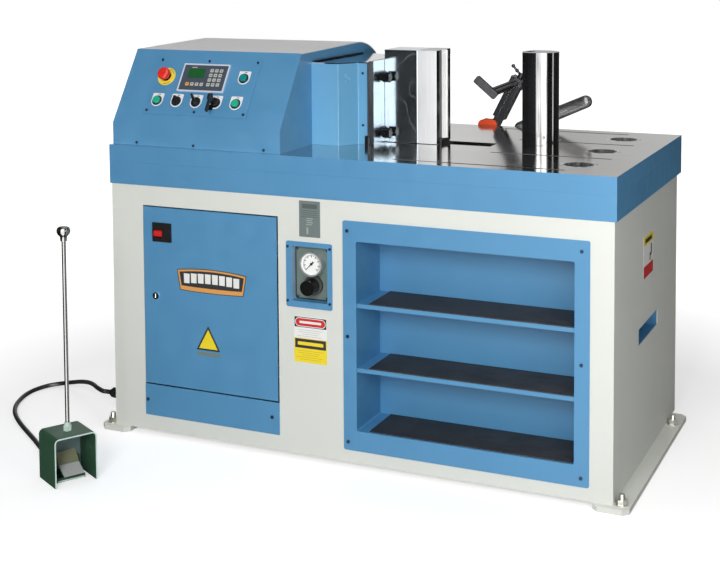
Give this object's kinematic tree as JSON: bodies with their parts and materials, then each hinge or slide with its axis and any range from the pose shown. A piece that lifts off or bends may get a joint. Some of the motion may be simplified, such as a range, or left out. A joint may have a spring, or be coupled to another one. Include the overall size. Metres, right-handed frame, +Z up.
{
  "type": "horizontal press brake",
  "caption": "Horizontal hydraulic press brake: ram with punch and V die post on a ground table, over a cabinet with shelves and a cabled foot switch.",
  "frame": {"origin": "on the floor under the middle of the whole machine, its foot switch included and the free cable left out", "axes": "+X the ram's working direction, +Y away from the operator, +Z up"},
  "size_m": [2.0651, 1.3754, 1.179],
  "materials": {
    "cabinet_shell": "satin powder coat",
    "foot_plates": "satin powder coat",
    "levelling_bolts": "zinc plated",
    "rear_panel": "satin powder coat",
    "lift_pocket": "gloss enamel",
    "table_frame": "gloss enamel",
    "table_plate": "ground, near mirror",
    "table_inserts": "ground",
    "hood_shell": "gloss enamel",
    "hood_lid": "light grey enamel",
    "control_panel": "gloss enamel",
    "device_collars": "plated",
    "operator_display": "moulded",
    "ram_cover": "gloss enamel",
    "ram_roof": "polished",
    "cylinder_barrel": "painted dark",
    "die_post": "ground",
    "shelf_box": "gloss enamel",
    "shelf_mats": "ribbed",
    "lower_panel": "gloss enamel",
    "gauge_frame": "gloss enamel",
    "gauge_plate": "matt",
    "gauge_body": "plated case, pale dial",
    "foot_base": "dark green enamel",
    "foot_guard": "dark green enamel",
    "carry_rod": "plated",
    "cable_glands": "moulded",
    "foot_cable": "smooth sheath",
    "oil_tank": "enamel",
    "pump_motor": "painted",
    "hydraulic_block": "machined",
    "electrics_plate": "moulded devices on a plate",
    "backstop_rail": "turned",
    "panel_screws": "blackened",
    "ram_body": "ground, polished face",
    "piston_rod": "hard chrome",
    "tool_block": "blackened, polished",
    "punch": "ground",
    "guide_key": "blackened",
    "tool_knob_upper": "moulded",
    "tool_knob_lower": "moulded",
    "door": "gloss enamel",
    "door_latch": "plated",
    "main_switch": "moulded",
    "switch_rocker": "moulded",
    "estop_button": "moulded",
    "button_left": "moulded",
    "button_right": "moulded",
    "button_top": "moulded",
    "selector_left": "moulded",
    "selector_right": "moulded",
    "key_switch": "plated",
    "gauge_needle": "matt",
    "regulator_knob": "ribbed",
    "pedal": "worn",
    "stop_clamp": "orange enamel",
    "stop_arm": "black anodised",
    "stop_rod": "blackened",
    "clamp_lever": "moulded",
    "swing_lever": "black enamel"
  },
  "bodies": {
    "machine": {"cabinet_shell": "cabinet_shell", "foot_plates": "foot_plates", "levelling_bolts": "levelling_bolts", "rear_panel": "rear_panel", "lift_pocket": "lift_pocket", "table_frame": "table_frame", "table_plate": "table_plate", "table_inserts": "table_inserts", "hood_shell": "hood_shell", "hood_lid": "hood_lid", "control_panel": "control_panel", "device_collars": "device_collars", "operator_display": "operator_display", "ram_cover": "ram_cover", "ram_roof": "ram_roof", "cylinder_barrel": "cylinder_barrel", "die_post": "die_post", "shelf_box": "shelf_box", "shelf_mats": "shelf_mats", "lower_panel": "lower_panel", "gauge_frame": "gauge_frame", "gauge_plate": "gauge_plate", "gauge_body": "gauge_body", "foot_base": "foot_base", "foot_guard": "foot_guard", "carry_rod": "carry_rod", "cable_glands": "cable_glands", "foot_cable": "foot_cable", "oil_tank": "oil_tank", "pump_motor": "pump_motor", "hydraulic_block": "hydraulic_block", "electrics_plate": "electrics_plate", "backstop_rail": "backstop_rail", "panel_screws": "panel_screws"},
    "ram": {"ram_body": "ram_body", "piston_rod": "piston_rod", "tool_block": "tool_block", "punch": "punch", "guide_key": "guide_key"},
    "upper_knob": {"tool_knob_upper": "tool_knob_upper"},
    "lower_knob": {"tool_knob_lower": "tool_knob_lower"},
    "control_door": {"door": "door", "main_switch": "main_switch"},
    "latch": {"door_latch": "door_latch"},
    "rocker": {"switch_rocker": "switch_rocker"},
    "emergency_stop": {"estop_button": "estop_button"},
    "left_button": {"button_left": "button_left"},
    "right_button": {"button_right": "button_right"},
    "top_button": {"button_top": "button_top"},
    "left_selector": {"selector_left": "selector_left"},
    "right_selector": {"selector_right": "selector_right"},
    "key": {"key_switch": "key_switch"},
    "needle": {"gauge_needle": "gauge_needle"},
    "regulator": {"regulator_knob": "regulator_knob"},
    "foot_pedal": {"pedal": "pedal"},
    "rail_clamp": {"stop_clamp": "stop_clamp"},
    "arm": {"stop_arm": "stop_arm"},
    "rod": {"stop_rod": "stop_rod"},
    "locking_lever": {"clamp_lever": "clamp_lever"},
    "side_lever": {"swing_lever": "swing_lever"}
  },
  "joints": [
    {"name": "ram_slide", "type": "slide", "parent": "machine", "child": "ram", "axis": [1, 0, 0], "range_m": [0, 0.14]},
    {"name": "upper_knob_turn", "type": "hinge", "parent": "ram", "child": "upper_knob", "pos_m": [0, 0.11637, 1.091], "axis": [1, 0, 0], "range_deg": [-180, 180]},
    {"name": "lower_knob_turn", "type": "hinge", "parent": "ram", "child": "lower_knob", "pos_m": [0, 0.11637, 0.92], "axis": [1, 0, 0], "range_deg": [-180, 180]},
    {"name": "door_hinge", "type": "hinge", "parent": "machine", "child": "control_door", "pos_m": [-0.215, -0.21413, 0.43], "axis": [0, 0, 1], "range_deg": [0, 100]},
    {"name": "latch_turn", "type": "hinge", "parent": "control_door", "child": "latch", "pos_m": [-0.626, -0.21963, 0.4345], "axis": [0, 1, 0], "range_deg": [0, 90]},
    {"name": "rocker_tilt", "type": "hinge", "parent": "control_door", "child": "rocker", "pos_m": [-0.614, -0.21563, 0.626], "axis": [1, 0, 0], "range_deg": [-8, 8]},
    {"name": "stop_push", "type": "slide", "parent": "machine", "child": "emergency_stop", "axis": [0, 0.8338, -0.552], "range_m": [0, 0.005]},
    {"name": "left_push", "type": "slide", "parent": "machine", "child": "left_button", "axis": [0, 0.8338, -0.552], "range_m": [0, 0.004], "stiffness_N_per_m": 400, "springref_m": -0.002},
    {"name": "right_push", "type": "slide", "parent": "machine", "child": "right_button", "axis": [0, 0.8338, -0.552], "range_m": [0, 0.004], "stiffness_N_per_m": 400, "springref_m": -0.002},
    {"name": "top_push", "type": "slide", "parent": "machine", "child": "top_button", "axis": [0, 0.8338, -0.552], "range_m": [0, 0.004], "stiffness_N_per_m": 400, "springref_m": -0.002},
    {"name": "left_select", "type": "hinge", "parent": "machine", "child": "left_selector", "pos_m": [-0.5834, -0.15447, 1.02171], "axis": [0, 0.8338, -0.552], "range_deg": [-45, 45]},
    {"name": "right_select", "type": "hinge", "parent": "machine", "child": "right_selector", "pos_m": [-0.5148, -0.15447, 1.02171], "axis": [0, 0.8338, -0.552], "range_deg": [0, 70]},
    {"name": "key_turn", "type": "hinge", "parent": "machine", "child": "key", "pos_m": [-0.4462, -0.15447, 1.02171], "axis": [0, 0.8338, -0.552], "range_deg": [0, 90]},
    {"name": "needle_turn", "type": "hinge", "parent": "machine", "child": "needle", "pos_m": [-0.098, -0.22163, 0.58], "axis": [0, 1, 0], "range_deg": [0, 270]},
    {"name": "regulator_turn", "type": "hinge", "parent": "machine", "child": "regulator", "pos_m": [-0.1, -0.21763, 0.515], "axis": [0, 1, 0], "range_deg": [0, 300]},
    {"name": "pedal_press", "type": "hinge", "parent": "machine", "child": "foot_pedal", "pos_m": [-0.69852, -0.59263, 0.046], "axis": [0.5, 0.866, 0], "range_deg": [0, 8], "stiffness_Nm_per_rad": 6, "springref_deg": -5.73},
    {"name": "clamp_slide", "type": "slide", "parent": "machine", "child": "rail_clamp", "axis": [1, 0, 0], "range_m": [-0.22, 0]},
    {"name": "arm_swing", "type": "hinge", "parent": "rail_clamp", "child": "arm", "pos_m": [0.162, 0.65337, 0.888], "axis": [0, 1, 0], "range_deg": [-40, 5]},
    {"name": "rod_slide", "type": "slide", "parent": "arm", "child": "rod", "axis": [-0.0158, -0.9994, -0.0311], "range_m": [-0.15, 0]},
    {"name": "lever_turn", "type": "hinge", "parent": "arm", "child": "locking_lever", "pos_m": [0.24417, 0.66137, 1.04927], "axis": [0.454, 0, 0.891], "range_deg": [-60, 60]},
    {"name": "side_lever_swing", "type": "hinge", "parent": "machine", "child": "side_lever", "pos_m": [0.25, 0.65837, 0.881], "axis": [0, 1, 0], "range_deg": [-15, 20]}
  ]
}
